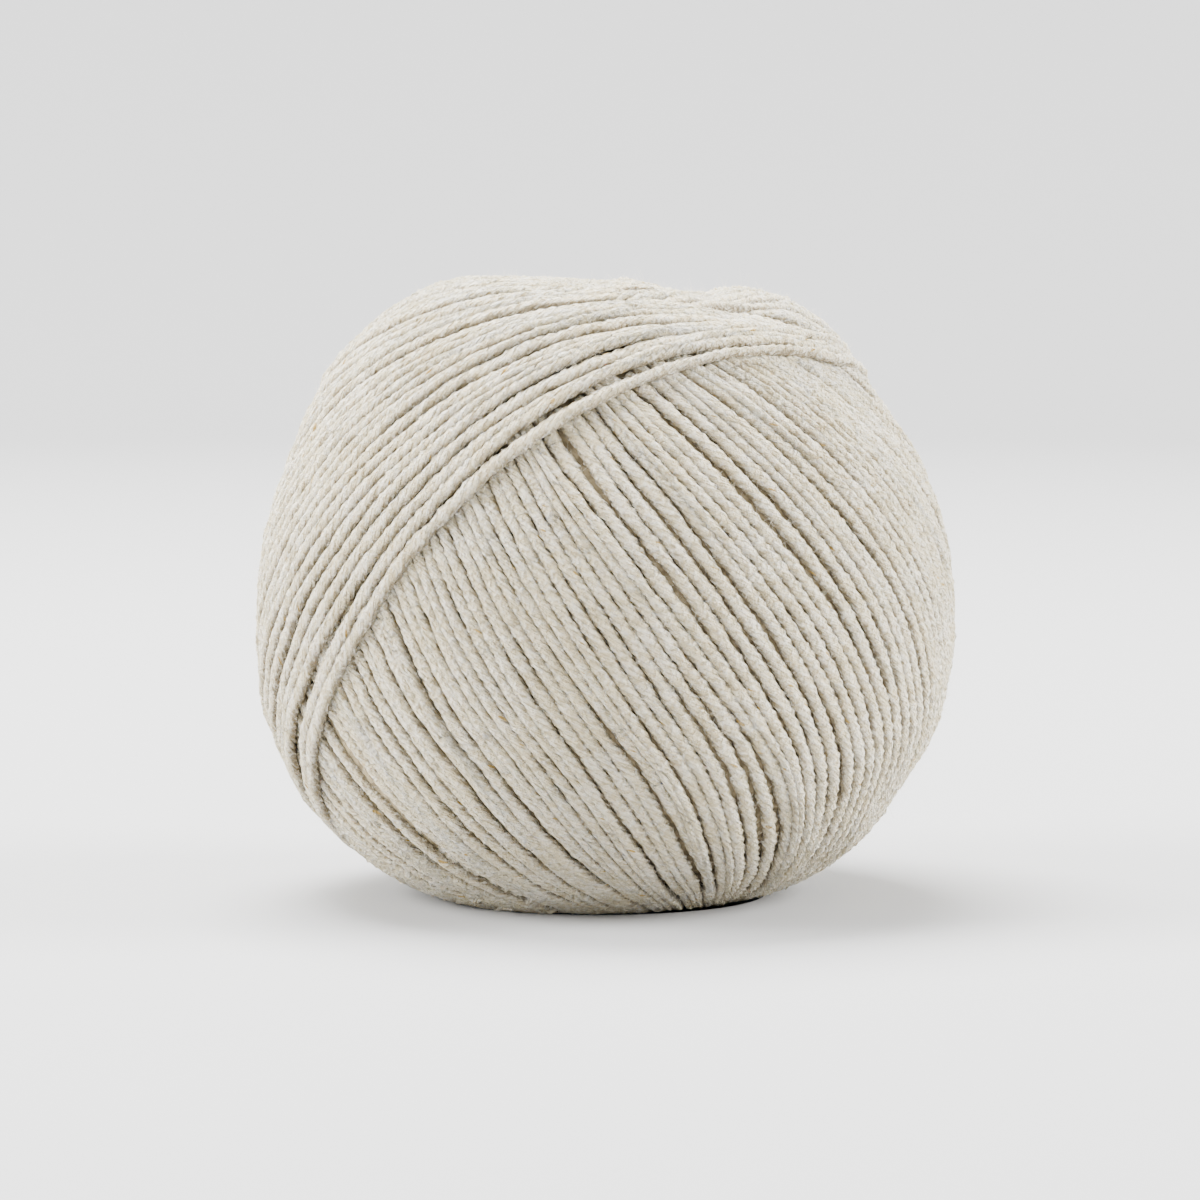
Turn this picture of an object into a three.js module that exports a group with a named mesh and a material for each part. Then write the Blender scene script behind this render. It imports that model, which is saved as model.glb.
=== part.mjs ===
// A 50 g ball of plied yarn, machine-wound, as one solid of its wound form.
// Millimetres, +Z up. The origin is the middle of the flat spot that the ball rests on.
//
// The yarn is laid in loops. A loop lies close to a plane through the winding centre, tilted by the
// same angle from the level as every other, and each next loop is turned a little further about the
// upright axis. So every place on the ball is crossed by two runs of turns: a rising run, which
// climbs to the right, and a falling run. The run that was laid last covers the other, and the two
// meet in a step along the newest loop.
import * as THREE from "three";

// ---- Driving dimensions ----
const YARN_DIAMETER = 1.7; // mm
const BALL_RADIUS = 42.4; // mm, at the widest level
const CENTRE_HEIGHT = 36; // mm, the winding centre above the surface that the ball rests on
const UPPER = { reach: 47.8, fullness: 1.86 }; // mm from the centre to the pole; 2 is an ellipse
const LOWER = { reach: 37.3, fullness: 2.42 }; // the resting surface cuts off its last millimetre
const EGG = 0.023; // share by which the ball is fuller below its centre than above
const HOLLOW = { depth: 12, spread: 0.31 }; // mm and radians, the sunk middle of the top

// ---- Winding ----
const LOOP_TILT = THREE.MathUtils.degToRad(60.5); // between a loop's plane and the level
const NEWEST_LOOP = THREE.MathUtils.degToRad(156); // azimuth of the newest loop's lowest point
const COLUMNS = 216; // grid lines around the ball, which the turns follow
const BANDS = 18; // grid bands from the lower rim of the winding to the upper one
const COLUMNS_PER_BUNDLE = 3; // a crest two lines wide, and a valley of one line
const BUNDLE_HEIGHT = 0.6; // mm, from valley to crest
const EDGE_WIDTH = THREE.MathUtils.degToRad(0.4); // azimuth over which the newest loop steps down
const CAP_COLUMNS = 72; // grid lines in the two caps, which only older, steeper turns reach
const CAP_SWIRL = THREE.MathUtils.degToRad(9); // azimuth by which those turns run on per ring
const UPPER_CAP = [65, 70, 75, 80, 85].map(THREE.MathUtils.degToRad); // elevations of its rings
const LOWER_CAP = [-75].map(THREE.MathUtils.degToRad); // the flat spot needs one
const SETTLE_PASSES = 80; // rounds in which a bent direction is found

// The loops bend away from their planes. A row adds amount * cos(waves * azimuth - phase) radians
// to a direction's elevation or azimuth.
const BENDS = [
  { to: "elevation", amount: -0.54, waves: 1, phase: 0 },
  { to: "elevation", amount: 0.09, waves: 2, phase: -2.33 },
  { to: "azimuth", amount: 0.395, waves: 1, phase: -0.38 },
  { to: "azimuth", amount: 0.15, waves: 2, phase: 0 },
];
// Some bundles stand higher than others, by share * cos(waves * loop - phase) of their height.
const UNEVEN_BUNDLES = [
  { share: 0.3, waves: 5, phase: 0.4 },
  { share: 0.25, waves: 13, phase: 2.1 },
];
// The ball is not quite round: height * cos(waves * azimuth - phase) mm at its widest level.
const LUMPS = [
  { height: 0.3, waves: 2, phase: 0.9 },
  { height: 0.25, waves: 3, phase: 0.2 },
];

const wave = ({ waves, phase }, angle) => Math.cos(waves * angle - phase);
const bendOf = (to, azimuth) =>
  BENDS.filter((row) => row.to === to).reduce((sum, row) => sum + row.amount * wave(row, azimuth), 0);

// Where a direction of the even winding lies on the real ball. The bend depends on the real
// direction, so it is found by moving half of the way towards it again and again.
function bent(azimuth, elevation) {
  let realAzimuth = azimuth;
  let realElevation = elevation;
  for (let pass = 0; pass < SETTLE_PASSES; pass++) {
    const level = Math.cos(realElevation);
    const nextAzimuth = azimuth + level * bendOf("azimuth", realAzimuth);
    const nextElevation = elevation + level ** 2 * bendOf("elevation", realAzimuth);
    realAzimuth += (nextAzimuth - realAzimuth) / 2;
    realElevation += (nextElevation - realElevation) / 2;
  }
  return { azimuth: realAzimuth, elevation: realElevation };
}

// Distance from the winding centre to the smooth ball: an oval with its own fullness above and
// below, fuller below by the egg share, less the round hollow about the upper pole.
function reach(elevation) {
  const half = elevation > 0 ? UPPER : LOWER;
  const across = (Math.cos(elevation) / BALL_RADIUS) ** half.fullness;
  const upright = (Math.abs(Math.sin(elevation)) / half.reach) ** half.fullness;
  const oval = (across + upright) ** (-1 / half.fullness);
  const fromPole = (Math.PI / 2 - elevation) / HOLLOW.spread;
  return oval * (1 - EGG * Math.sin(elevation)) - HOLLOW.depth * Math.exp(-(fromPole ** 2));
}

// The surface point in a direction of the even winding, raised by relief. Whatever would reach
// below the resting surface is flattened onto it.
function surfacePoint(azimuth, elevation, relief) {
  const real = bent(azimuth, elevation);
  const level = Math.cos(real.elevation);
  const lumps = LUMPS.reduce((sum, row) => sum + row.height * wave(row, real.azimuth), 0);
  const free = reach(real.elevation) + relief + lumps * level ** 2;
  const drop = -Math.sin(real.elevation);
  const flattened = drop * free > CENTRE_HEIGHT;
  const distance = flattened ? CENTRE_HEIGHT / drop : free;
  const height = flattened ? 0 : CENTRE_HEIGHT - drop * distance;
  return [
    distance * level * Math.cos(real.azimuth),
    distance * level * Math.sin(real.azimuth),
    height,
  ];
}

const crestOf = (column) => (column % COLUMNS_PER_BUNDLE === COLUMNS_PER_BUNDLE - 1 ? -0.5 : 0.5);

// Relief of one run of turns, in mm. A loop's climb is the angle by which its turn has risen from
// its lowest point (0) to its highest (180 degrees), and its age is the angle by which the winding
// has turned on since. The surface sinks by one yarn from the newest turn to the oldest that
// shows at that level, and the bundles stand on it. Both fade out at the two rims.
function reliefOf(climb, column, oldest) {
  const fade = Math.sqrt(Math.sin(climb));
  const age = (column * 2 * Math.PI) / COLUMNS;
  const ramp = YARN_DIAMETER * (0.5 - column / Math.max(oldest, 1));
  const uneven = UNEVEN_BUNDLES.reduce((sum, row) => sum + row.share * wave(row, age), 1);
  return fade * (ramp + crestOf(column) * uneven * BUNDLE_HEIGHT);
}

// ---- Mesh ----
// Row 0 is the lower rim of the winding and row BANDS the upper one. A row holds the rising turns
// that show there and the falling ones; with each row more of the rising and fewer of the falling
// show, because the newest loop climbs across the rows.
const SHIFT_PER_ROW = COLUMNS / BANDS;
const positions = [];
const triangles = [];

function addPoint(azimuth, elevation, relief) {
  positions.push(...surfacePoint(azimuth, elevation, relief));
  return positions.length / 3 - 1;
}

// A triangle, left out where the step has shrunk to nothing and two of its corners are one.
function addTriangle(a, b, c) {
  if (a !== b && b !== c && c !== a) triangles.push(a, b, c);
}

// The strip between a lower and an upper line of points that both run west.
function addStrip(lower, upper) {
  for (let k = 0; k + 1 < lower.length; k++) {
    addTriangle(lower[k + 1], lower[k], upper[k]);
    addTriangle(lower[k + 1], upper[k], upper[k + 1]);
  }
}

// The strip between a closed ring and a sparser one, each running west; outer is the lower one.
function addSparserRing(lower, upper) {
  const coarse = Math.min(lower.length, upper.length);
  for (let k = 0; k < coarse; k++) {
    const next = (k + 1) % coarse;
    const dense = lower.length > upper.length ? lower : upper;
    const ratio = dense.length / coarse;
    const middle = Math.floor(ratio / 2);
    for (let s = 0; s < ratio; s++) {
      const east = dense[k * ratio + s];
      const west = dense[(k * ratio + s + 1) % dense.length];
      const corner = s < middle || ratio === 1 ? k : next;
      if (dense === lower) addTriangle(west, east, upper[corner]);
      else addTriangle(east, west, lower[corner]);
    }
    const pivot = dense[(k * ratio + (ratio === 1 ? 1 : middle)) % dense.length];
    if (dense === lower) addTriangle(pivot, upper[k], upper[next]);
    else addTriangle(lower[next], lower[k], pivot);
  }
}

function makeRow(row) {
  const climb = (row * Math.PI) / BANDS;
  const elevation = -Math.atan(Math.cos(climb) * Math.tan(LOOP_TILT));
  const risingCount = row * SHIFT_PER_ROW;
  const fallingCount = COLUMNS - risingCount;
  const edge = (EDGE_WIDTH / 2) * Math.sin(climb);
  const turn = (2 * Math.PI) / COLUMNS;
  const inset = (column, last) => (column === 0 ? -edge : column === last ? edge : 0);
  const makeRun = (count, direction) =>
    Array.from({ length: count + 1 }, (_, column) => {
      const azimuth = NEWEST_LOOP - column * turn + direction * climb + inset(column, count);
      return addPoint(azimuth, elevation, reliefOf(climb, column, count));
    });
  if (row === 0) {
    const falling = makeRun(COLUMNS - 1, -1);
    return { rising: [falling[0]], falling: [...falling, falling[0]] };
  }
  if (row === BANDS) {
    const rising = makeRun(COLUMNS - 1, 1);
    return { rising: [...rising, rising[0]], falling: [rising[0]] };
  }
  return { rising: makeRun(risingCount, 1), falling: makeRun(fallingCount, -1) };
}

// One band of the winding: the rising turns, the falling turns, and the two steps between them.
function addBand(low, high) {
  const fan = (count, point) => Array.from({ length: count }, () => point);
  const risingEnd = low.rising.length;
  addStrip(low.rising, high.rising.slice(0, risingEnd));
  addStrip(fan(SHIFT_PER_ROW + 1, low.rising.at(-1)), high.rising.slice(risingEnd - 1));
  const fallingEnd = high.falling.length;
  addStrip(low.falling.slice(0, fallingEnd), high.falling);
  addStrip(low.falling.slice(fallingEnd - 1), fan(SHIFT_PER_ROW + 1, high.falling.at(-1)));
  addStrip([low.falling.at(-1), low.rising[0]], [high.falling.at(-1), high.rising[0]]);
  addStrip([low.rising.at(-1), low.falling[0]], [high.rising.at(-1), high.falling[0]]);
}

// The rings of a cap at these elevations. Its bundles swirl towards the pole and fade out there.
function makeCap(startAzimuth, elevations) {
  const turn = (2 * Math.PI) / CAP_COLUMNS;
  return elevations.map((elevation, ring) =>
    Array.from({ length: CAP_COLUMNS }, (_, column) => {
      const relief = crestOf(column) * BUNDLE_HEIGHT * (1 - ring / elevations.length);
      return addPoint(startAzimuth - column * turn - ring * CAP_SWIRL, elevation, relief);
    }),
  );
}

function makeWoundBall() {
  const rows = Array.from({ length: BANDS + 1 }, (_, row) => makeRow(row));
  for (let row = 0; row < BANDS; row++) addBand(rows[row], rows[row + 1]);

  const upperRings = makeCap(NEWEST_LOOP + Math.PI, UPPER_CAP);
  const upperRim = rows[BANDS].rising.slice(0, COLUMNS);
  [upperRim, ...upperRings].forEach((ring, k, all) => {
    if (k > 0) addSparserRing(all[k - 1], ring);
  });
  const top = addPoint(0, Math.PI / 2, 0);
  const lastUpper = upperRings.at(-1);
  lastUpper.forEach((point, k) => addTriangle(lastUpper[(k + 1) % CAP_COLUMNS], point, top));

  const lowerRings = makeCap(NEWEST_LOOP, LOWER_CAP);
  const lowerRim = rows[0].falling.slice(0, COLUMNS);
  [lowerRim, ...lowerRings].forEach((ring, k, all) => {
    if (k > 0) addSparserRing(ring, all[k - 1]);
  });
  const bottom = addPoint(0, -Math.PI / 2, 0);
  const lastLower = lowerRings.at(-1);
  lastLower.forEach((point, k) => addTriangle(point, lastLower[(k + 1) % CAP_COLUMNS], bottom));

  const geometry = new THREE.BufferGeometry();
  geometry.setAttribute("position", new THREE.Float32BufferAttribute(positions, 3));
  geometry.setIndex(triangles);
  geometry.computeVertexNormals();
  return geometry;
}

const yarn = new THREE.MeshStandardMaterial({ color: 0xd8d4c6, roughness: 0.95, metalness: 0 });
const woundBall = new THREE.Mesh(makeWoundBall(), yarn);
woundBall.name = "wound_ball";

const ball = new THREE.Group();
ball.add(woundBall);
export default ball;
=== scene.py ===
"""A machine-wound ball of plied yarn.

Every turn that shows is its own plied strand. The loops of the winding are laid one after the other
on the ball's form, as the machine lays them: each rests on the highest turns under it, sinks into
them a little, and spans the dips between them. What later turns hide is left out.

Lengths are in millimetres until a mesh is made, and angles in radians. A direction from the winding
centre is an azimuth and an elevation.
"""

import math

import bpy
import numpy as np
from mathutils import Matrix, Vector


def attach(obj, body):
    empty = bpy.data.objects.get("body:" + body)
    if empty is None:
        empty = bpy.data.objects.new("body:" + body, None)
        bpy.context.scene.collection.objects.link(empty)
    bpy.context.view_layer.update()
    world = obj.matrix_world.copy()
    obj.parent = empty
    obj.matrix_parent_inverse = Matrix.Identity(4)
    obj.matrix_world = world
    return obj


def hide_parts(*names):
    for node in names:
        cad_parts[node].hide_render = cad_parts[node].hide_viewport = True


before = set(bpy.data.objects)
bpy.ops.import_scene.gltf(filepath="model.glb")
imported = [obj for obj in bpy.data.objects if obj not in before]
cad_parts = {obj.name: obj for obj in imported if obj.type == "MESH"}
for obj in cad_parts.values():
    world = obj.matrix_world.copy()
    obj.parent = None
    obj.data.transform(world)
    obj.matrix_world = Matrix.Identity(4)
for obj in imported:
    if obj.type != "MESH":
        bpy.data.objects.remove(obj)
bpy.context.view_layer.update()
MM = 0.001  # metres in a millimetre

# ---- The ball's form ----
BALL_RADIUS = 42.4  # at the level of the winding centre
CENTRE_HEIGHT = 36.0  # of the winding centre over the resting surface
# Reach of the oval up and down, before the hollow and the flat spot, and its fullness, 2 for an ellipse.
UPPER_REACH, UPPER_FULLNESS = 47.8, 1.86
LOWER_REACH, LOWER_FULLNESS = 37.3, 2.42
EGG = 0.023  # how much the ball is fuller below than above
HOLLOW_DEPTH, HOLLOW_SPREAD = 12.0, 0.31  # spread in radians from the upper pole
# Lumps: height at the widest level, waves around the ball, phase.
LUMPS = ((0.3, 2, 0.9), (0.25, 3, 0.2))
# Dents, and bumps below zero: depth, azimuth, elevation, and widths round and up, in mm and degrees.
DENTS = (
    (2.2, 20.0, 72.0, 55.0, 11.0),
    (2.6, 318.0, 66.0, 26.0, 10.0),
    (1.2, 255.0, 69.0, 22.0, 8.0),
    (-0.8, 78.0, 70.0, 9.0, 9.0),
    (-0.9, 180.0, 42.0, 35.0, 12.0),
    (0.9, 0.0, 38.0, 35.0, 10.0),
    (0.8, 0.0, -32.0, 40.0, 8.0),
)

# ---- Colours and relief of the yarn ----
IVORY, CREAM, OATMEAL = "#F5EAD2", "#EBDDBC", "#D0C097"
PAINTED_SHADE, PAINTED_DEEP_SHADE = "#9C8A66", "#6C5C40"  # painted shade: tan and brown for the shade where turns or plies press together
FLECK = "#BE9C52"  # bits of straw in the fleece
FIBRE = "#F3EBD6"  # raised and loose fibre
# painted shade: the warm dark browns of the wool deep between the turns, where light hardly reaches
INNER_SHADE_DARK, INNER_SHADE_LIGHT = "#6E6148", "#9A8B6C"
FIBRE_HEIGHT = 2.2  # mm
FIBRE_SLANT = 6.0  # degrees that the fibres turn from the plies
# How many to a metre: tufts 0.56 mm wide, patches of colour 6 mm wide, and patches inside of 1.1 mm.
TUFTS, COLOUR_PATCHES, INNER_PATCHES = 1800.0, 160.0, 900.0

# ---- Camera: distance and aim in mm, elevation in degrees ----
CAMERA_ELEVATION, CAMERA_DISTANCE = 5.0, 700.0
CAMERA_AIM = (-0.49, 0.0, 36.08)
LENS, SENSOR = 171.2, 36.0

# ---- Winding ----
LOOP_TILT = 60.5  # degrees
NEWEST_LOOP = math.radians(156)
# Bends of the loops: amount in radians, waves around the ball, phase.
ELEVATION_BENDS = ((-0.54, 1, 0.0), (0.09, 2, -2.33))
AZIMUTH_BENDS = ((0.395, 1, -0.38), (0.15, 2, 0.0))
SETTLE_PASSES = 50  # enough for the bends to settle
PULL_BELOW, PULL = math.radians(-20), 2.2  # the loops are drawn in under the ball
# Older runs under the last one, oldest first: tilt in degrees, loops in one way round the ball, and
# ways round the ball that it goes.
OLDER_RUNS = ((84.0, 36, 1.0), (77.0, 70, 1.0), (69.0, 110, 1.0))
LOOPS_ROUND = 146  # loops in one way round the ball, in the last run
LAST_ROUNDS = 1.5  # ways round the ball that the last run goes
# How far apart the last run's loops lie against an even spacing: age in degrees, spacing.
SPACING = (
    (0, 1.12),
    (45, 1.10),
    (100, 1.12),
    (125, 1.06),
    (150, 0.88),
    (175, 0.90),
    (200, 1.06),
    (240, 1.1),
)
LOOP_POINTS = 780  # points along a loop when it is laid

# ---- Yarn ----
YARN_RADIUS = 0.79
ROUND_YARN = 2 * math.pi * YARN_RADIUS  # way round the yarn
PLIES = 6
PLY_PITCH = 8.4  # yarn in which a ply goes round once
GROOVE = 0.77  # radius in the groove between two plies, as a share of the yarn's
FLATNESS = 0.97  # height of the yarn as a share of its width
SQUEEZED, SPREAD = 0.50, 0.95  # least and most half width of the yarn between its neighbours
FILL = 1.15  # how much of the room between its neighbours the yarn takes
PILED = (0.22, 0.42)  # half the room between turns at which they lie on each other, wholly to not at all
RING = 2 * PLIES  # corners round the yarn, a ridge and a groove for each ply
# Thick and thin places of the yarn, with the same columns as the sideways waves.
THICKNESS_WAVES = (12, 0.038, 9, 70, 2.9)
RAGGED = 0.06  # how much the fibre makes the plies uneven, as a share of the radius
RING_STEP = 2  # laid points from one mesh ring to the next, for yarn that lies open
GLIMPSED_STEP, GLIMPSED_RING = 4, 8  # the same, and corners round it, for yarn that is glimpsed
OPEN_PIECES, GLIMPSED_PIECES = 4, 2  # mesh pieces that each kind is parted into
CORE_DEPTH = 1.7  # of the dense inside under the form
HAIRS, HAIR_LENGTH, HAIR_RADIUS = 18000, 0.8, 0.011
HAIR_POINTS, HAIR_SIDES = 7, 3  # two rings of three corners and a tip
SINK = 0.26  # how far one turn sinks into the next
GIVE = 0.6  # how far a turn may lie from the height that an even winding would give it
LAYER = 2 * YARN_RADIUS - SINK
RIM_SLIP = math.radians(15)  # stretch of a loop at a rim over which it slips back by one turn
CROWDING = (0.30, 0.35)  # how much lower turns start because they crowd up, everywhere and at the rims
FOOT = np.radians([44.0, 56.0])  # down from here to there the ball's weight levels the turns
COVER_LAYERS = 2.5  # turns by which an older run lies deeper where the next one covers it
COVER_FADE = math.radians(7)  # over which it comes to do so
# Waves of the tilt in radians from loop to loop, with the same columns as the sideways waves.
TILT_WAVES = ((5, 0.010, 0, 0, 0.9), (5, 0.008, 0, 0, 2.9))
# Waves of the yarn, sideways: how many, height of each, fewest and most in a loop, and the largest
# change of phase from loop to loop.
SIDEWAYS_WAVES = ((6, 0.25, 1, 4, 0.12), (8, 0.055, 1, 9, 0.9), (12, 0.034, 8, 44, 2.8))
SHOW_DEPTH = 0.05  # yarn shows where it lies no deeper than this under what covers it ...
OPEN_CELLS = 5  # ... in so many of the nine cells across it for yarn that lies open
GLIMPSED_CELLS = 2  # ... and in so many for yarn glimpsed between the turns over it
STRETCH_ENDS = 4  # mesh rings by which a stretch that shows runs on under its neighbours


def waves(rows, azimuth):
    """Sum of amount * cos(number of waves * azimuth - phase) over the rows."""
    return sum(amount * np.cos(number * azimuth - phase) for amount, number, phase in rows)


def dents(azimuth, elevation):
    """Sum of depth * exp(-(turn away / width)^2 - (rise away / width)^2) over the dents' rows."""
    total = 0.0
    for depth, at_azimuth, at_elevation, wide, tall in DENTS:
        turn = np.mod(azimuth - math.radians(at_azimuth) + math.pi, 2 * math.pi) - math.pi
        rise = elevation - math.radians(at_elevation)
        away = (turn / math.radians(wide)) ** 2 + (rise / math.radians(tall)) ** 2
        total = total + depth * np.exp(-away)
    return total


def reach(azimuth, elevation):
    """Distance from the winding centre to the form: an oval with its own fullness above and below,
    fuller below by the egg share, less the round hollow about the upper pole, plus the lumps, and
    cut off at the resting surface."""
    up, across = np.abs(np.sin(elevation)), np.cos(elevation)
    above = elevation > 0
    full = np.where(above, UPPER_FULLNESS, LOWER_FULLNESS)
    half = np.where(above, UPPER_REACH, LOWER_REACH)
    oval = ((across / BALL_RADIUS) ** full + (up / half) ** full) ** (-1 / full)
    oval = oval * (1 - EGG * np.sin(elevation))
    hollow = HOLLOW_DEPTH * np.exp(-(((math.pi / 2 - elevation) / HOLLOW_SPREAD) ** 2))
    free = oval - hollow + waves(LUMPS, azimuth) * across**2 - dents(azimuth, elevation)
    floor = CENTRE_HEIGHT / np.maximum(-np.sin(elevation), 1e-6)
    return np.where(elevation < 0, np.minimum(free, floor), free)


def form_point(azimuth, elevation):
    """The form's point in a direction, with z measured from the winding centre."""
    r, level = reach(azimuth, elevation), np.cos(elevation)
    out = r * level
    return np.stack([out * np.cos(azimuth), out * np.sin(azimuth), r * np.sin(elevation)], -1)


def form_normal(azimuth, elevation):
    """The form's outward normal: the cross product of its slopes along azimuth and elevation."""
    h = 0.01
    east = form_point(azimuth + h, elevation) - form_point(azimuth - h, elevation)
    north = form_point(azimuth, elevation + h) - form_point(azimuth, elevation - h)
    return unit(np.cross(east, north))


def unit(v):
    """Vectors divided by their lengths."""
    return v / np.maximum(np.linalg.norm(v, axis=-1, keepdims=True), 1e-12)


def direction_of(point):
    """Azimuth and elevation of points measured from the winding centre."""
    flat = np.hypot(point[..., 0], point[..., 1])
    return np.arctan2(point[..., 1], point[..., 0]), np.arctan2(point[..., 2], flat)


def bent(azimuth, elevation):
    """Where a direction of the even winding lies on the real ball. The bend depends on the real
    direction, so each pass moves half of the way towards it. Below a level the elevation is drawn
    down: with t the share of the way from there to the lower pole, t becomes t + pull * t^2 * (1 -
    t)^2."""
    real_azimuth, real_elevation = azimuth.copy(), elevation.copy()
    for _ in range(SETTLE_PASSES):
        level = np.cos(real_elevation)
        to_azimuth = azimuth + level * waves(AZIMUTH_BENDS, real_azimuth)
        to_elevation = elevation + level**2 * waves(ELEVATION_BENDS, real_azimuth)
        real_azimuth += (to_azimuth - real_azimuth) / 2
        real_elevation += (to_elevation - real_elevation) / 2
    depth = math.pi / 2 + PULL_BELOW
    share = np.clip((PULL_BELOW - real_elevation) / depth, 0, 1)
    real_elevation -= depth * PULL * (share * (1 - share)) ** 2
    return real_azimuth, real_elevation


# ---- The loops ----
def wander(turn, angle, seed, sizes):
    """A sum of waves along the loops, each of which changes its phase a little from one loop to the
    next. sizes is (how many waves, height of each, fewest and most in a loop, largest change of
    phase from loop to loop)."""
    rng = np.random.default_rng(seed)
    count, height, fewest, most, slip = sizes
    total = np.zeros(np.broadcast(turn, angle).shape)
    for _ in range(count):
        number = rng.integers(fewest, most + 1)
        change, phase = rng.uniform(-slip, slip), rng.uniform(0, 2 * math.pi)
        total += height * np.cos(number * angle + change * turn + phase)
    return total


def loop_plan():
    """Tilt, age, and tilt of the run that covers it, of each loop, oldest first. A loop's age is the
    angle by which its run's winding has turned on since: the sum of the steps between loops."""
    tilts, ages, next_tilts = [], [], []
    runs = [*OLDER_RUNS, (LOOP_TILT, LOOPS_ROUND, LAST_ROUNDS)]
    for (tilt, count, rounds), covering in zip(runs, [*runs[1:], None]):
        age = 360 * np.arange(int(count * rounds)) / count
        step = np.interp(age, *np.array(SPACING).T) if covering is None else np.ones(age.size)
        age = np.radians(np.cumsum(step) - step) * 360 / count
        ages.append(age[::-1])
        tilts.append(np.full(age.size, math.radians(tilt)))
        next_tilts.append(np.full(age.size, math.radians(covering[0] if covering else 90)))
    return np.concatenate(tilts), np.concatenate(ages), np.concatenate(next_tilts)


def own_height(angle):
    """How far a loop has climbed over its own run, as a share of one turn: it gains one turn from
    the lower rim to the upper one and one on the way down, and slips back between over a stretch."""
    part = np.mod(angle, math.pi)
    slip_in = np.clip(1 - part / RIM_SLIP, 0, 1)
    slip_out = np.clip(1 - (math.pi - part) / RIM_SLIP, 0, 1)
    return part / math.pi + (slip_in - slip_out) / 2


def lay_out():
    """Points of every loop on the form, and the height over it that an even winding would give them.
    A loop is a plane's cut through a ball about the winding centre: at angle s along it, its azimuth
    is the lowest azimuth + s, and its elevation is -atan(tan(tilt) * cos(s))."""
    tilts, ages, next_tilts = loop_plan()
    angle = np.linspace(0, 2 * math.pi, LOOP_POINTS, endpoint=False)[None]
    turn = np.arange(len(tilts))[::-1, None] - angle / (2 * math.pi)
    step = np.maximum(-np.diff(ages, append=-2 * math.pi / LOOPS_ROUND), 0)
    azimuth = NEWEST_LOOP - ages[:, None] + angle * (1 + step[:, None] / (2 * math.pi))
    tilt = tilts[:, None] + sum(wander(turn, angle * 0, 11 + k, row) for k, row in enumerate(TILT_WAVES))
    elevation = -np.arctan(np.tan(tilt) * np.cos(angle))
    under = np.clip((next_tilts[:, None] - np.abs(elevation)) / COVER_FADE, 0, 1)
    under = np.where(next_tilts[:, None] < 1.5, under, 0)
    height = LAYER * (own_height(angle) - ages[:, None] / math.pi - COVER_LAYERS * under) - YARN_RADIUS
    height -= CROWDING[0] + CROWDING[1] * np.clip(-np.cos(angle), 0, 1) ** 4
    foot = np.clip((-elevation - FOOT[0]) / (FOOT[1] - FOOT[0]), 0, 1)
    height += foot * (-YARN_RADIUS - height)
    azimuth, elevation = bent(azimuth, elevation)
    spaced = even_steps(form_point(azimuth, elevation))
    azimuth, elevation = at_steps(np.unwrap(azimuth), spaced), at_steps(elevation, spaced)
    height, turn = at_steps(height, spaced), at_steps(turn, spaced)
    angle = 2 * math.pi * spaced / LOOP_POINTS
    aside = sum(wander(turn, angle, 21 + seed, row) for seed, row in enumerate(SIDEWAYS_WAVES))
    point, normal, side = frame_of(azimuth, elevation)
    azimuth, elevation = direction_of(point + side * aside[..., None])
    point, normal, side = frame_of(azimuth, elevation)
    return point, normal, side, height, half_widths(point, side)


def half_widths(point, side):
    """Half of the room that each turn has between its neighbours, within what the yarn can be
    squeezed or spread to. Where turns lie on each other at the rims it keeps its own width."""
    room = np.abs(((point[2:] - point[:-2]) * side[1:-1]).sum(2)) / 4
    room = np.concatenate([room[:1], room, room[-1:]])
    for _ in range(6):
        room = (np.roll(room, 1, 1) + room + np.roll(room, -1, 1)) / 3
    squeezed = np.clip(room * FILL, SQUEEZED, SPREAD)
    piled = np.clip((PILED[1] - room) / (PILED[1] - PILED[0]), 0, 1)
    return squeezed + (YARN_RADIUS - squeezed) * piled


def even_steps(point):
    """Where along each loop, counted in its points, the ends of equal steps of length lie."""
    gaps = np.linalg.norm(np.roll(point, -1, 1) - point, axis=2)
    total = np.concatenate([np.zeros((len(point), 1)), np.cumsum(gaps, axis=1)], axis=1)
    wanted = total[:, -1:] * np.arange(LOOP_POINTS) / LOOP_POINTS
    count = np.arange(LOOP_POINTS + 1)
    return np.stack([np.interp(want, have, count) for want, have in zip(wanted, total)])


def at_steps(values, places):
    """Values at places between a loop's points. A loop's last gap leads on to its next turn."""
    ahead = 2 * values[:, -1:] - values[:, -2:-1]
    values = np.concatenate([values, ahead], axis=1)
    low = places.astype(int)
    share = places - low
    rows = np.arange(len(values))[:, None]
    return values[rows, low] * (1 - share) + values[rows, low + 1] * share


def frame_of(azimuth, elevation):
    """Points on the form, its normals, and the directions sideways from the loops along it."""
    point = form_point(azimuth, elevation)
    normal = form_normal(azimuth, elevation)
    along = unit(np.roll(point, -1, 1) - np.roll(point, 1, 1))
    return point, normal, unit(np.cross(normal, along))


# ---- Laying the loops on each other ----
CELL = math.radians(0.34)
COLUMNS, ROWS = int(2 * math.pi / CELL), int(math.pi / CELL)
ACROSS = np.linspace(-0.9, 0.9, 9) * YARN_RADIUS
BULGE = 1 - np.abs(ACROSS / YARN_RADIUS) ** 1.6  # the soft round of the yarn, as a share of its radius
SPANS = (22, 16, 11, 8, 5, 3, 2, 1, 5, 2, 1)  # points to either side over which a loop is taut


def cells(point):
    """Cell numbers of points, in a grid of azimuth and elevation."""
    azimuth, elevation = direction_of(point)
    column = np.floor((azimuth + math.pi) / CELL).astype(int) % COLUMNS
    row = np.clip(np.floor((elevation + math.pi / 2) / CELL).astype(int), 0, ROWS - 1)
    return row * COLUMNS + column


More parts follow.
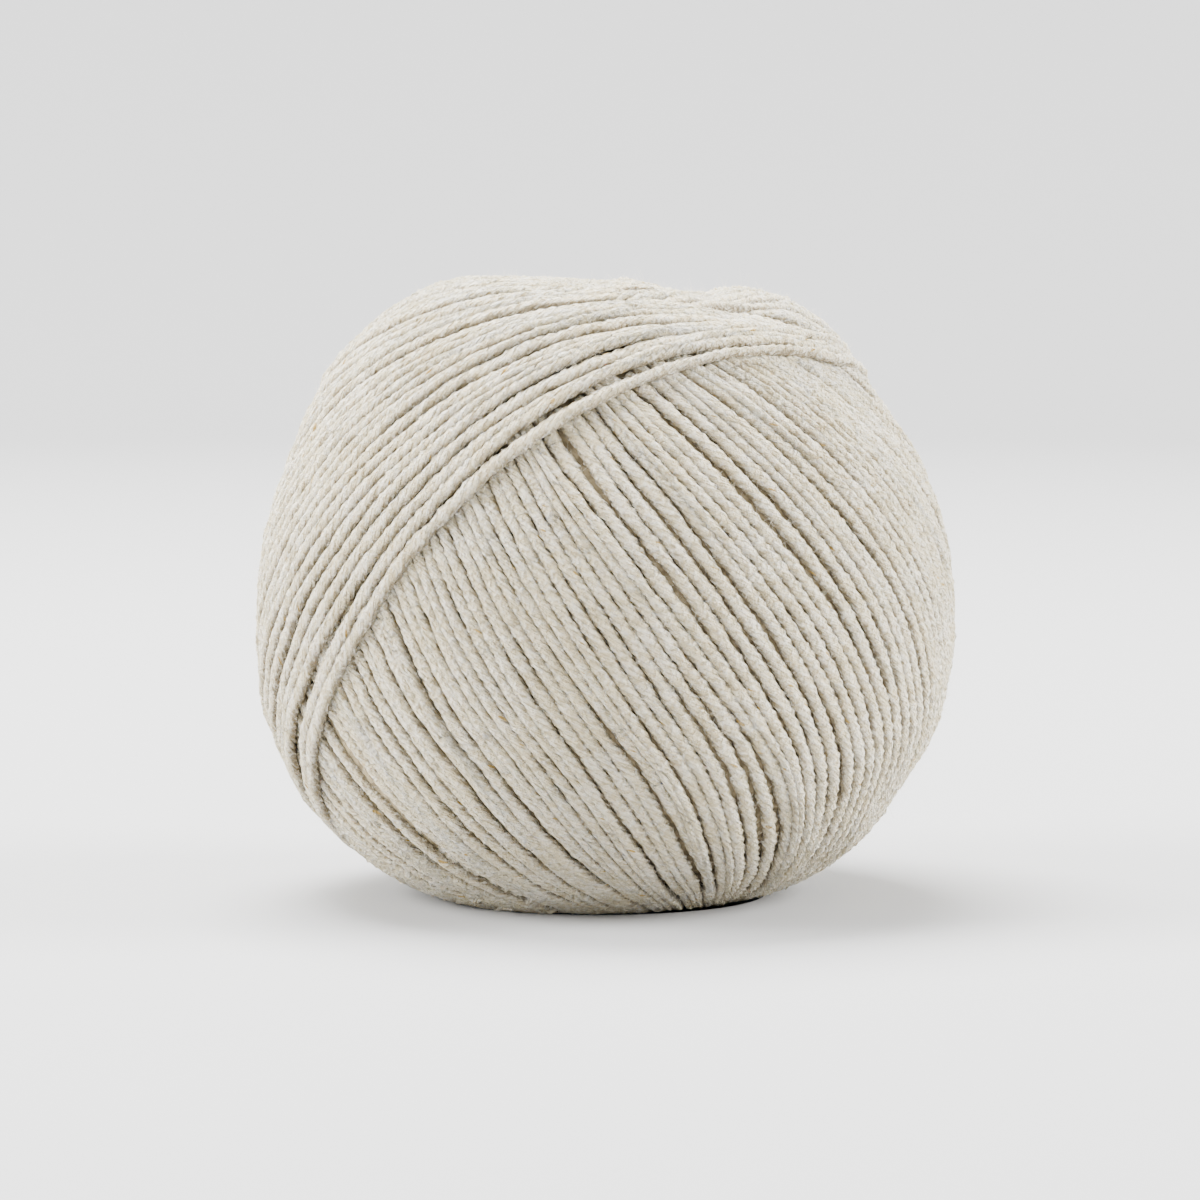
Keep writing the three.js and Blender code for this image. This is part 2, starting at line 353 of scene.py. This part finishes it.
def wind():
    """Lay the loops one after the other on a bed of heights over the form. A loop rests where its
    round first meets the bed, less what it sinks in, but no further from its even height than the
    give. Where it would sag it spans the dip on a straight line, which rises above the round form by
    span^2 / (2 * radius)."""
    point, normal, side, even, width = lay_out()
    pace = float(np.linalg.norm(np.diff(point[-1], axis=0), axis=1).mean())
    feet = point[:, :, None] + side[:, :, None] * ACROSS[None, None, :, None]
    foot_cells = cells(feet)
    bed = np.full(ROWS * COLUMNS, -99.0)
    heights = np.empty(even.shape)
    for k, foot in enumerate(foot_cells):
        rest = (bed[foot] + YARN_RADIUS * BULGE).max(1) - SINK
        rest = GIVE * np.tanh((rest - even[k]) / GIVE)
        for span in SPANS:
            chord = (np.roll(rest, span) + np.roll(rest, -span)) / 2
            rest = np.maximum(rest, chord - (span * pace) ** 2 / (2 * BALL_RADIUS))
        rest = even[k] + (np.roll(rest, 1) + 2 * rest + np.roll(rest, -1)) / 4
        heights[k] = rest
        np.maximum.at(bed, foot.ravel(), (rest[:, None] + YARN_RADIUS * BULGE).ravel())
    top = closed(bed.reshape(ROWS, COLUMNS)).ravel()
    own = heights[:, :, None] + YARN_RADIUS * BULGE
    shows = (own > top[foot_cells] - SHOW_DEPTH).sum(2)
    return point + normal * heights[..., None], normal, side, shows, width


def closed(bed):
    """The bed with its one-cell holes filled: the highest of each cell and its neighbours, and then
    the lowest of those."""
    for pick in (np.maximum, np.minimum):
        for axis in (0, 1):
            bed = pick(pick(np.roll(bed, 1, axis), np.roll(bed, -1, axis)), bed)
    return bed


# ---- Meshes ----
def add_piece(name, points, faces, material, uv=None, outward=None):
    """One mesh piece. points are in mm from the resting surface; faces is a list of arrays of corner
    numbers, one array for each number of corners; uv has one row a corner, and outward one value a
    point."""
    corners = np.concatenate([part.ravel() for part in faces])
    widths = np.concatenate([np.full(len(part), part.shape[1]) for part in faces])
    mesh = bpy.data.meshes.new(name)
    mesh.vertices.add(len(points))
    mesh.vertices.foreach_set("co", (np.asarray(points) * MM).astype(np.float32).ravel())
    mesh.loops.add(len(corners))
    mesh.loops.foreach_set("vertex_index", corners.astype(np.int32))
    mesh.polygons.add(len(widths))
    mesh.polygons.foreach_set("loop_start", (np.cumsum(widths) - widths).astype(np.int32))
    mesh.update(calc_edges=True)
    mesh.shade_smooth()
    if uv is not None:
        mesh.uv_layers.new(name="Yarn").uv.foreach_set("vector", uv.astype(np.float32).ravel())
    if outward is not None:
        values = mesh.attributes.new("outward", "FLOAT", "POINT").data
        values.foreach_set("value", outward.astype(np.float32))
    mesh.materials.append(material)
    piece = bpy.data.objects.new(name, mesh)
    bpy.context.collection.objects.link(piece)
    return piece


def ball_piece(name, points, faces, material, uv=None, outward=None):
    """A mesh piece of the yarn, which takes part in standing for the wound ball."""
    piece = add_piece(name, points, faces, material, uv, outward)
    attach(piece, "root")
    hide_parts("wound_ball")
    return piece


def run_on(kept, rings):
    """Each kept stretch made longer at both ends, which also joins stretches that lie close."""
    total = np.concatenate([[0], np.cumsum(kept)])
    number = np.arange(len(kept))
    from_ring = np.maximum(number - rings, 0)
    to_ring = np.minimum(number + rings + 1, len(kept))
    return total[to_ring] > total[from_ring]


def yarn_rings(wound, kept, step, ring, groove):
    """Rings of the kept yarn. Round the centre line, a ring's corner at angle a lies at
    radius * (cos(a) * sideways + flatness * sin(a) * outwards), with the larger radius on the plies
    and the smaller one in the grooves. The angles turn back along the yarn by the twist."""
    centre, normal, side = (part[:, ::step].reshape(-1, 3) for part in wound[:3])
    per_loop = wound[0].shape[1] // step
    centre = np.maximum(centre + [0, 0, CENTRE_HEIGHT], [-np.inf, -np.inf, YARN_RADIUS * FLATNESS])
    length = np.cumsum(np.linalg.norm(np.diff(centre, axis=0, prepend=centre[:1]), axis=1))
    loop, on_loop = np.divmod(np.arange(len(centre)), per_loop)
    thick = 1 + wander(loop, 2 * math.pi * on_loop / per_loop, 31, THICKNESS_WAVES)
    width = (wound[4][:, ::step].ravel() * thick)[kept, None]
    height = FLATNESS * YARN_RADIUS**1.5 / width**0.5
    corner = np.arange(ring)
    turned = 2 * math.pi * (corner / ring - length[kept, None] / PLY_PITCH)
    uneven = np.random.default_rng(41).normal(0, RAGGED, turned.shape)
    radius = np.where(corner % 2, groove, 1.0) * (1 + np.clip(uneven, -2 * RAGGED, 2 * RAGGED))
    across, up = width * radius * np.cos(turned), height * radius * np.sin(turned)
    points = centre[kept, None] + across[..., None] * side[kept, None]
    points += up[..., None] * normal[kept, None]
    points[..., 2] = np.maximum(points[..., 2], 0)
    return points, np.sin(turned), length[kept], loop[kept]


def yarn_pieces(name, wound, kept, step, ring, groove, pieces, material):
    """Tubes along the kept yarn, with closed ends, in pieces of neighbouring loops. Their map is in
    mm along the yarn and round it, with each loop's part set off sideways by whole rounds."""
    points, outward, length, loop = yarn_rings(wound, kept, step, ring, groove)
    number = np.cumsum(kept) - 1
    tied = np.zeros(len(points), bool)
    tied[number[:-1][kept[:-1] & kept[1:]]] = True
    corner = np.arange(ring)
    after = (corner + 1) % ring
    lid = np.arange(ring // 2 - 1)
    lid = np.stack([lid, ring - 1 - lid, ring - 2 - lid, lid + 1], 1) % ring
    cuts = np.searchsorted(loop, np.quantile(loop, np.arange(1, pieces) / pieces))
    edges = [0, *cuts, len(points)]
    for part, (low, high) in enumerate(zip(edges[:-1], edges[1:])):
        joined = tied[low:high].copy()
        joined[-1] = False
        first = np.flatnonzero(joined)[:, None]
        wall = np.stack([first * ring + corner, first * ring + after], -1)
        wall = np.concatenate([wall, wall[..., ::-1] + ring], -1).reshape(-1, 4)
        heads = np.flatnonzero(~np.concatenate([[False], joined[:-1]]))[:, None, None]
        tails = np.flatnonzero(~joined)[:, None, None]
        lids = np.concatenate([heads * ring + lid, tails * ring + lid[:, ::-1]]).reshape(-1, 4)
        faces = np.concatenate([wall, lids])
        round_wall = np.tile(np.stack([corner, corner + 1, corner + 1, corner], -1), (len(first), 1))
        share = np.concatenate([round_wall, lids % ring]) / ring
        rings = faces // ring
        own = loop[low:high][rings[:, :1]]
        uv = np.stack([length[low:high][rings], (share + 3 * np.mod(own, 29)) * ROUND_YARN], -1)
        uv[..., 0] -= np.floor(uv[:, :1, 0] / (60 * PLY_PITCH)) * 60 * PLY_PITCH
        mesh = points[low:high].reshape(-1, 3), [faces], material, uv, outward[low:high].ravel()
        ball_piece(f"{name}_{part + 1}", *mesh)


def fuzz(wound, material):
    """Loose fibre ends that stand off the yarn that lies open: thin three-sided hairs. Each starts on
    the yarn's outer side, and at share t of its length it is at root + length * (t * way + t^2 *
    curl), and its radius is that of the fibre times (1 - 0.8 * t)."""
    rng = np.random.default_rng(5)
    centre, normal, side, shows = (part.reshape(-1, *part.shape[2:]) for part in wound[:4])
    roots = rng.choice(np.flatnonzero(shows >= OPEN_CELLS), HAIRS)
    around = rng.uniform(0.1 * math.pi, 0.9 * math.pi, (HAIRS, 1))
    out = np.cos(around) * side[roots] + np.sin(around) * normal[roots]
    root = centre[roots] + out * YARN_RADIUS * 0.85 + [0, 0, CENTRE_HEIGHT]
    forward = np.cross(side[roots], normal[roots]) * rng.choice([-1, 1], (HAIRS, 1))
    lift = rng.uniform(0.1, 0.9, (HAIRS, 1))
    way = unit(lift * out + forward * (1.1 - lift) + rng.normal(0, 0.35, (HAIRS, 3)))
    curl = rng.normal(0, 0.38, (HAIRS, 3)) + 0.1 * out
    length = HAIR_LENGTH * np.clip(rng.lognormal(0, 0.5, (HAIRS, 1)), 0.3, 3.2)
    share = np.array([0.0, 0.5, 1.0])[None, :, None]
    line = root[:, None] + length[:, None] * (share * way[:, None] + share**2 * curl[:, None])
    line[..., 2] = np.maximum(line[..., 2], 0.1)
    first = unit(np.cross(way, rng.normal(0, 1, (HAIRS, 3))))
    second = np.cross(way, first)
    third = 2 * math.pi * np.arange(HAIR_SIDES)[None, None, :, None] / HAIR_SIDES
    ring = np.cos(third) * first[:, None, None] + np.sin(third) * second[:, None, None]
    radius = HAIR_RADIUS * (1 - 0.8 * share[..., None][:, :2])
    rings = line[:, :2, None] + radius * ring
    points = np.concatenate([rings.reshape(HAIRS, 6, 3), line[:, 2:]], axis=1).reshape(-1, 3)
    base = HAIR_POINTS * np.arange(HAIRS)[:, None, None]
    wall = [[0, 1, 4, 3], [1, 2, 5, 4], [2, 0, 3, 5]]
    ends = [[0, 2, 1], [3, 4, 6], [4, 5, 6], [5, 3, 6]]
    faces = [(base + np.array(wall)).reshape(-1, 4), (base + np.array(ends)).reshape(-1, 3)]
    ball_piece("fuzz", points, faces, material)


def inner_ball(material):
    """The dense inside that shows between the turns: the form, smaller all round by the core depth,
    on a grid of azimuth and elevation closed at the poles."""
    columns, rows = 180, 90
    azimuth = np.linspace(0, 2 * math.pi, columns, endpoint=False)[None]
    elevation = np.linspace(-math.pi / 2, math.pi / 2, rows + 1)[1:-1, None]
    azimuth, elevation = np.broadcast_arrays(azimuth, elevation)
    grid = form_point(azimuth, elevation) - form_normal(azimuth, elevation) * CORE_DEPTH
    poles = np.array([[0, 0, CORE_DEPTH - CENTRE_HEIGHT], [0, 0, grid[-1, :, 2].mean()]])
    points = np.concatenate([grid.reshape(-1, 3), poles]) + [0, 0, CENTRE_HEIGHT]
    number = np.arange(grid[..., 0].size).reshape(grid.shape[:2])
    east = np.roll(number, -1, 1)
    walls = np.stack([number[:-1], east[:-1], east[1:], number[1:]], -1).reshape(-1, 4)
    under = np.stack([east[0], number[0], np.full(columns, number.size)], -1)
    over = np.stack([number[-1], east[-1], np.full(columns, number.size + 1)], -1)
    ball_piece("inner_ball", points, [walls, np.concatenate([under, over])], material)


# ---- Finishes ----
def linear(hex_colour):
    """A colour's linear red, green, blue and full alpha from its sRGB hex value."""
    parts = [int(hex_colour[i : i + 2], 16) / 255 for i in (1, 3, 5)]
    return [c / 12.92 if c <= 0.04045 else ((c + 0.055) / 1.055) ** 2.4 for c in parts] + [1.0]


def node(tree, kind, settings=(), links=()):
    """Add a node and give its first output in use. settings are its properties, or its inputs' values
    by name or number; links are its inputs' sources."""
    made = tree.nodes.new(kind)
    for name, value in dict(settings).items():
        if isinstance(name, str) and hasattr(made, name):
            setattr(made, name, value)
        else:
            made.inputs[name].default_value = value
    for name, source in dict(links).items():
        tree.links.new(source, made.inputs[name])
    return next(output for output in made.outputs if output.enabled)


def finish(name, values):
    """A material, its tree and its shader, with the shader's values set."""
    material = bpy.data.materials.new(name)
    material.use_nodes = True
    shader = material.node_tree.nodes["Principled BSDF"]
    for socket, value in values.items():
        shader.inputs[socket].default_value = value
    return material, material.node_tree, shader


def inner_finish(name):
    """The same wool deep between the turns, with painted shade for its colour: light reaches it only
    through the gaps, and it is painted the warm dark brown that the eye sees there."""
    material, tree, shader = finish(name, {"Roughness": 1.0})
    place = tree.nodes.new("ShaderNodeTexCoord").outputs["Object"]
    patches = node(tree, "ShaderNodeTexNoise", {"Scale": INNER_PATCHES}, {"Vector": place})
    span = {"From Min": 0.4, "From Max": 0.6}
    share = node(tree, "ShaderNodeMapRange", span, {"Value": patches})
    ends = {"data_type": "RGBA", 6: linear(INNER_SHADE_DARK), 7: linear(INNER_SHADE_LIGHT)}
    tree.links.new(node(tree, "ShaderNodeMix", ends, {0: share}), shader.inputs["Base Color"])
    return material


def yarn_finish(name):
    """Woollen-spun plied yarn: matt, undyed fibre that the eye reads as soft: ivory on top of the turns;
    painted shade in tan and brown down their sides, where they press together and in the grooves between
    the plies; oatmeal mottling, darker as painted shade where the fibre relief is low; a few straw
    flecks; and fine raised fibre.
    """
    soft = {
        "Roughness": 0.9,
        "Specular IOR Level": 0.2,
        "Sheen Weight": 0.2,
        "Subsurface Weight": 0.3,
        "Subsurface Radius": (1.0, 0.85, 0.6),
        "Subsurface Scale": 0.6 * MM,
    }
    material, tree, shader = finish(name, soft)
    coordinates = tree.nodes.new("ShaderNodeTexCoord")
    along, place = coordinates.outputs["UV"], coordinates.outputs["Object"]
    # Fibres: streaks 0.5 mm wide and 1.8 mm long. The real ones are 0.03 mm wide, too fine to show.
    turned = {"Rotation": (0, 0, math.radians(FIBRE_SLANT)), "Scale": (0.55, 2.0, 1.0)}
    fibres = node(tree, "ShaderNodeMapping", turned, {"Vector": along})
    cloudy = {"Scale": 1.0, "Detail": 3.0, "Roughness": 0.55}
    fibres = node(tree, "ShaderNodeTexNoise", cloudy, {"Vector": fibres})
    small = {"Scale": TUFTS, "Detail": 2.0, "Roughness": 0.5}
    tufts = node(tree, "ShaderNodeTexNoise", small, {"Vector": place})
    relief = node(tree, "ShaderNodeMath", {"operation": "ADD"}, {0: fibres, 1: tufts})
    raised = {"Strength": 1.0, "Distance": FIBRE_HEIGHT * MM}
    tree.links.new(node(tree, "ShaderNodeBump", raised, {"Height": relief}), shader.inputs["Normal"])

    # Shares of the colours, each from a source between two of its values.
    large = {"Scale": COLOUR_PATCHES, "Detail": 3.0}
    wide = node(tree, "ShaderNodeTexNoise", large, {"Vector": place})
    flat = node(tree, "ShaderNodeMapping", {"Scale": (0.3, 0.9, 1.0)}, {"Vector": along})
    flat = node(tree, "ShaderNodeTexNoise", cloudy, {"Vector": flat})
    straw = node(tree, "ShaderNodeMapping", {"Scale": (0.35, 0.9, 1.0)}, {"Vector": along})
    straw = node(tree, "ShaderNodeTexNoise", {"Scale": 1.0, "Detail": 1.0}, {"Vector": straw})
    # A ply's ridge is |cos(pi * plies * way round the yarn)|: 1 on top and 0 in the groove.
    parts = node(tree, "ShaderNodeSeparateXYZ", (), {"Vector": along}).node.outputs
    turning = {"operation": "MULTIPLY", 1: math.pi * PLIES / ROUND_YARN}
    ridge = node(tree, "ShaderNodeMath", turning, {0: parts["Y"]})
    ridge = node(tree, "ShaderNodeMath", {"operation": "COSINE"}, {0: ridge})
    ridge = node(tree, "ShaderNodeMath", {"operation": "ABSOLUTE"}, {0: ridge})
    outward = node(tree, "ShaderNodeAttribute", {"attribute_name": "outward"}).node.outputs["Fac"]
    # Source, its values where a colour starts and where it is fullest, its greatest share, the colour.
    colour = None
    layers = (
        (wide, 0.4, 0.6, 1.0, CREAM),
        (flat, 0.47, 0.6, 0.6, OATMEAL),
        # painted shade: darker oatmeal where the fibre relief is low, in the hollows between fibres
        (relief, 1.0, 0.8, 0.75, OATMEAL),
        # painted shade in the grooves between the plies
        (ridge, 0.5, 0.0, 0.35, PAINTED_SHADE),
        # painted shade: tan down the yarn's sides as they turn away from the outside, and deeper brown
        # where turns press together
        (outward, 0.9, 0.4, 0.5, PAINTED_SHADE),
        (outward, 0.65, 0.3, 0.4, PAINTED_DEEP_SHADE),
        (relief, 1.03, 1.18, 0.8, FIBRE),
        (straw, 0.73, 0.76, 1.0, FLECK),
    )
    for source, low, high, most, tint in layers:
        span = {"interpolation_type": "SMOOTHSTEP"}
        span.update({"From Min": low, "From Max": high, "To Max": most})
        share = node(tree, "ShaderNodeMapRange", span, {"Value": source})
        ends = {"data_type": "RGBA", 6: linear(IVORY), 7: linear(tint)}
        colour = node(tree, "ShaderNodeMix", ends, {0: share, **({6: colour} if colour else {})})
    tree.links.new(colour, shader.inputs["Base Color"])
    return material


WOOL = yarn_finish("undyed_wool_yarn")
wound = wind()
lies_open = run_on((wound[3] >= OPEN_CELLS).reshape(-1, RING_STEP).any(1), STRETCH_ENDS)
yarn_pieces("turns", wound, lies_open, RING_STEP, RING, GROOVE, OPEN_PIECES, WOOL)
seen = (wound[3] >= GLIMPSED_CELLS).reshape(-1, GLIMPSED_STEP).any(1)
seen &= ~lies_open.reshape(-1, GLIMPSED_STEP // RING_STEP).all(1)
seen = run_on(seen, STRETCH_ENDS - 1)
glimpsed = GLIMPSED_STEP, GLIMPSED_RING, 1.0, GLIMPSED_PIECES
yarn_pieces("lower_turns", wound, seen, *glimpsed, WOOL)
# The dense inside, coloured with painted shade.
inner_ball(inner_finish("shaded_wool"))
# Single wool fibres: pale against the light, matt against the yarn.
fibre = {"Base Color": linear(FIBRE), "Roughness": 0.6, "Specular IOR Level": 0.3}
fuzz(wound, finish("loose_wool_fibre", fibre)[0])


# ---- Floor, light and camera ----
PAPER, TENT_SIDES = "#ACACAC", 96
SKY = 1.08  # strength of the even light through the open top
# Softboxes: name, place and aim in metres, width and height in metres, watts.
SOFTBOXES = (
    ("overhead_softbox", (-0.2, 0.35, 1.1), (0, 0, 0), (0.8, 0.6), 74),
    ("left_softbox", (-1.05, -0.15, 0.6), (0, 0, 0.03), (0.6, 0.7), 44),
    ("right_softbox", (1.05, -0.05, 0.5), (0, 0, 0.03), (0.6, 0.7), 46),
)


def light_tent():
    """Floor, curve and wall in one seamless surface of revolution, open above."""
    bend = np.linspace(0, math.pi / 2, 17)
    radii = np.concatenate([[0.02, 0.2, 0.5], 0.95 + 0.45 * np.sin(bend), [1.4]])
    heights = np.concatenate([[0, 0, 0], 0.45 - 0.45 * np.cos(bend), [1.5]])
    azimuth = np.linspace(0, 2 * math.pi, TENT_SIDES, endpoint=False)
    out = radii[:, None]
    rings = [out * np.cos(azimuth), out * np.sin(azimuth), heights[:, None] + 0 * azimuth]
    rings = np.stack(rings, -1)
    number = np.arange(rings[..., 0].size).reshape(rings.shape[:2])
    east = np.roll(number, -1, 1)
    walls = np.stack([number[:-1], number[1:], east[1:], east[:-1]], -1).reshape(-1, 4)
    middle = np.stack([number[0], east[0], np.full(TENT_SIDES, number.size)], -1)
    # Matt paper with no edge behind the ball, so the eye sees an even pale ground.
    paper = {"Base Color": linear(PAPER), "Roughness": 1.0, "Specular IOR Level": 0.1}
    material = finish("matt_white_paper", paper)[0]
    points = np.concatenate([rings.reshape(-1, 3), [[0, 0, 0]]]) / MM
    tent = add_piece("light_tent", points, [walls[:, ::-1], middle], material)


def softbox(name, place, aim, size, power):
    """A rectangle of soft light, turned to face its aim."""
    lamp = bpy.data.lights.new(name, "AREA")
    lamp.shape, lamp.size, lamp.size_y, lamp.energy = "RECTANGLE", size[0], size[1], power
    box = bpy.data.objects.new(name, lamp)
    box.location = place
    box.rotation_mode = "QUATERNION"
    box.rotation_quaternion = (Vector(aim) - Vector(place)).to_track_quat("-Z", "Y")
    bpy.context.collection.objects.link(box)


def set_camera():
    """A long lens in front of the ball, raised by the camera's elevation about its aim."""
    lens = bpy.data.cameras.new("camera")
    lens.sensor_width, lens.lens = SENSOR, LENS
    lens.clip_start, lens.clip_end = 0.01, 20
    camera = bpy.data.objects.new("camera", lens)
    aim = Vector(CAMERA_AIM) * MM
    tilt = math.radians(CAMERA_ELEVATION)
    camera.location = aim + Vector((0, -math.cos(tilt), math.sin(tilt))) * CAMERA_DISTANCE * MM
    camera.rotation_euler = (math.pi / 2 - tilt, 0, 0)
    bpy.context.collection.objects.link(camera)
    bpy.context.scene.camera = camera


light_tent()
for box in SOFTBOXES:
    softbox(*box)
world = bpy.data.worlds.new("studio")
world.use_nodes = True
world.node_tree.nodes["Background"].inputs["Color"].default_value = linear("#FFFFFF")
world.node_tree.nodes["Background"].inputs["Strength"].default_value = SKY
bpy.context.scene.world = world
set_camera()
